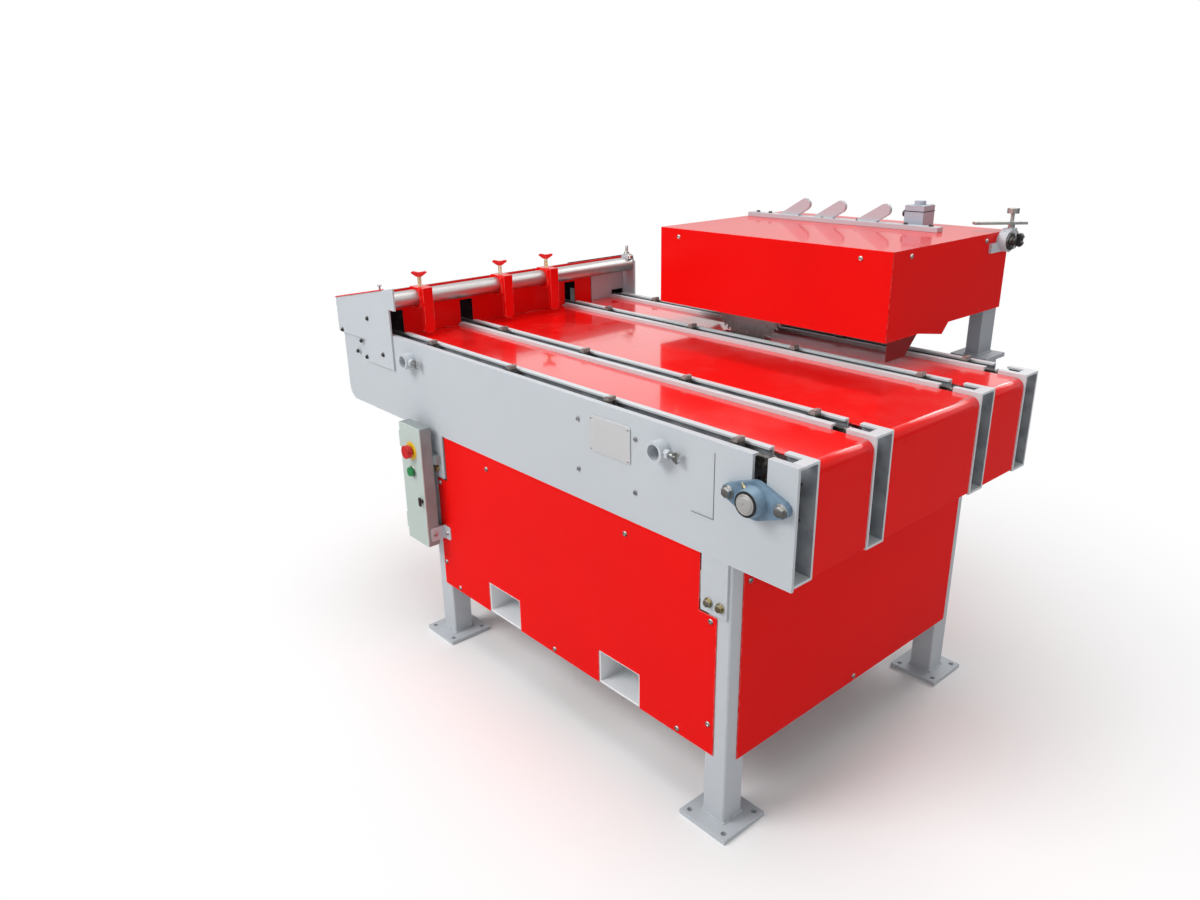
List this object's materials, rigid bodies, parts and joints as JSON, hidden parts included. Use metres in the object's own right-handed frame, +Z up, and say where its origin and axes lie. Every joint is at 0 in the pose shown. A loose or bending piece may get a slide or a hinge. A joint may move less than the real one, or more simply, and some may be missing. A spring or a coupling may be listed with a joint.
{
  "type": "single end trim saw",
  "caption": "Floor-standing trim saw: lug chains in channel rails carry boards over red decks past a hooded circular saw that cuts one end square.",
  "frame": {"origin": "centre of the overall footprint, on the floor", "axes": "+X along the feed towards the outfeed end, +Y to the rear where the saw stands, +Z up"},
  "size_m": [1.836, 1.406, 1.3],
  "materials": {
    "red": "gloss paint",
    "grey": "satin paint",
    "motor_grey": "satin paint",
    "bearing_blue": "painted casting",
    "steel": "ground",
    "chain_steel": "oiled dark",
    "cast": "machined",
    "belt_rubber": "matt",
    "flap_rubber": "matt",
    "zinc": "zinc plated",
    "black_plastic": "moulded",
    "stop_red": "moulded",
    "start_green": "moulded"
  },
  "bodies": {
    "frame": {"legs": "grey", "base_stretchers": "grey", "fork_channels": "grey", "front_panel": "red", "rear_panel": "red", "end_panels": "red", "front_side_plate": "grey", "chain_rail_1": "grey", "chain_rail_2": "grey", "chain_rail_3": "grey", "chain_rail_4": "grey", "deck_panel_1": "red", "deck_panel_2": "red", "deck_panel_3": "red", "lug_chain_1": "chain_steel", "lug_chain_2": "chain_steel", "lug_chain_3": "chain_steel", "lug_chain_4": "chain_steel", "flange_bearings": "bearing_blue", "gear_motor": "motor_grey", "hopper_front_plate": "grey", "hopper_rear_plate": "grey", "hopper_wall": "red", "hopper_lid": "red", "cross_bar": "steel", "bar_receivers": "grey", "control_box": "grey", "saw_stand": "grey", "pivot_shaft": "steel"},
    "conveyor_drive": {"drive_shaft": "steel", "drive_sprockets": "chain_steel"},
    "conveyor_tail": {"tail_shaft": "steel", "tail_sprockets": "chain_steel"},
    "saw_head": {"swing_frame": "grey", "hood_shell": "red", "hood_front": "red", "dust_flap": "flap_rubber", "hood_top_bar": "grey", "pivot_clamp": "grey", "saw_motor": "motor_grey", "arbor_housing": "grey", "drive_belt": "belt_rubber"},
    "saw_arbor": {"arbor": "steel", "blade": "steel", "arbor_pulley": "cast"},
    "motor_rotor": {"motor_pulley": "cast"},
    "clamp_lever": {"clamp_screw": "zinc"},
    "takeup_lock": {"takeup_handle": "zinc"},
    "box_door": {"control_door": "grey"},
    "box_latch": {"door_latch": "black_plastic"},
    "stop_push": {"stop_button": "stop_red"},
    "start_push": {"start_button": "start_green"},
    "finger_1": {"stop_finger_1": "red"},
    "finger_1_screw": {"finger_screw_1": "red"},
    "finger_2": {"stop_finger_2": "red"},
    "finger_2_screw": {"finger_screw_2": "red"},
    "finger_3": {"stop_finger_3": "red"},
    "finger_3_screw": {"finger_screw_3": "red"},
    "receiver_1_screw": {"receiver_screw_1": "zinc"},
    "receiver_2_screw": {"receiver_screw_2": "zinc"}
  },
  "joints": [
    {"name": "drive_spin", "type": "hinge", "parent": "frame", "child": "conveyor_drive", "pos_m": [0.828, -0.14803, 0.85], "axis": [0, 1, 0], "continuous": true},
    {"name": "tail_spin", "type": "hinge", "parent": "frame", "child": "conveyor_tail", "pos_m": [-0.696, -0.14803, 0.85], "axis": [0, 1, 0], "continuous": true},
    {"name": "finger_1_slide", "type": "slide", "parent": "frame", "child": "finger_1", "axis": [0, 1, 0], "range_m": [-0.04, 0.1]},
    {"name": "finger_1_screw_turn", "type": "hinge", "parent": "finger_1", "child": "finger_1_screw", "pos_m": [-0.566, -0.52203, 1.084], "axis": [0, 0, 1], "range_deg": [0, 360]},
    {"name": "finger_2_slide", "type": "slide", "parent": "frame", "child": "finger_2", "axis": [0, 1, 0], "range_m": [-0.08, 0.08]},
    {"name": "finger_2_screw_turn", "type": "hinge", "parent": "finger_2", "child": "finger_2_screw", "pos_m": [-0.566, -0.22803, 1.084], "axis": [0, 0, 1], "range_deg": [0, 360]},
    {"name": "finger_3_slide", "type": "slide", "parent": "frame", "child": "finger_3", "axis": [0, 1, 0], "range_m": [-0.08, 0.08]},
    {"name": "finger_3_screw_turn", "type": "hinge", "parent": "finger_3", "child": "finger_3_screw", "pos_m": [-0.566, -0.04203, 1.084], "axis": [0, 0, 1], "range_deg": [0, 360]},
    {"name": "receiver_1_screw_turn", "type": "hinge", "parent": "frame", "child": "receiver_1_screw", "pos_m": [0.606, -0.63903, 0.882], "axis": [1, 0, 0], "range_deg": [0, 360]},
    {"name": "receiver_2_screw_turn", "type": "hinge", "parent": "frame", "child": "receiver_2_screw", "pos_m": [-0.435, -0.63903, 0.882], "axis": [1, 0, 0], "range_deg": [0, 360]},
    {"name": "door_swing", "type": "hinge", "parent": "frame", "child": "box_door", "pos_m": [-0.4875, -0.67603, 0.5175], "axis": [0, 0, -1], "range_deg": [0, 110]},
    {"name": "latch_turn", "type": "hinge", "parent": "box_door", "child": "box_latch", "pos_m": [-0.384, -0.68003, 0.477], "axis": [0, 1, 0], "range_deg": [0, 90]},
    {"name": "stop_press", "type": "slide", "parent": "box_door", "child": "stop_push", "axis": [0, 1, 0], "range_m": [0, 0.005], "stiffness_N_per_m": 800},
    {"name": "start_press", "type": "slide", "parent": "box_door", "child": "start_push", "axis": [0, 1, 0], "range_m": [0, 0.004], "stiffness_N_per_m": 600},
    {"name": "saw_swing", "type": "hinge", "parent": "frame", "child": "saw_head", "pos_m": [0.234, 0.64397, 1.198], "axis": [-1, 0, 0], "range_deg": [0, 10]},
    {"name": "clamp_turn", "type": "hinge", "parent": "saw_head", "child": "clamp_lever", "pos_m": [0.645, 0.66697, 1.238], "axis": [0, 0, 1], "range_deg": [-90, 90]},
    {"name": "arbor_spin", "type": "hinge", "parent": "saw_head", "child": "saw_arbor", "pos_m": [0.136, 0.16197, 1.062], "axis": [0, 1, 0], "continuous": true},
    {"name": "motor_spin", "type": "hinge", "parent": "saw_head", "child": "motor_rotor", "pos_m": [0.439, 0.38197, 1.11], "axis": [0, 1, 0], "continuous": true},
    {"name": "takeup_turn", "type": "hinge", "parent": "frame", "child": "takeup_lock", "pos_m": [0.744, 0.36197, 0.896], "axis": [0, 1, 0], "range_deg": [0, 360]}
  ],
  "couplings": [
    {"joint": "tail_spin", "follows": "drive_spin", "ratio": 1},
    {"joint": "motor_spin", "follows": "arbor_spin", "ratio": 0.66667}
  ]
}
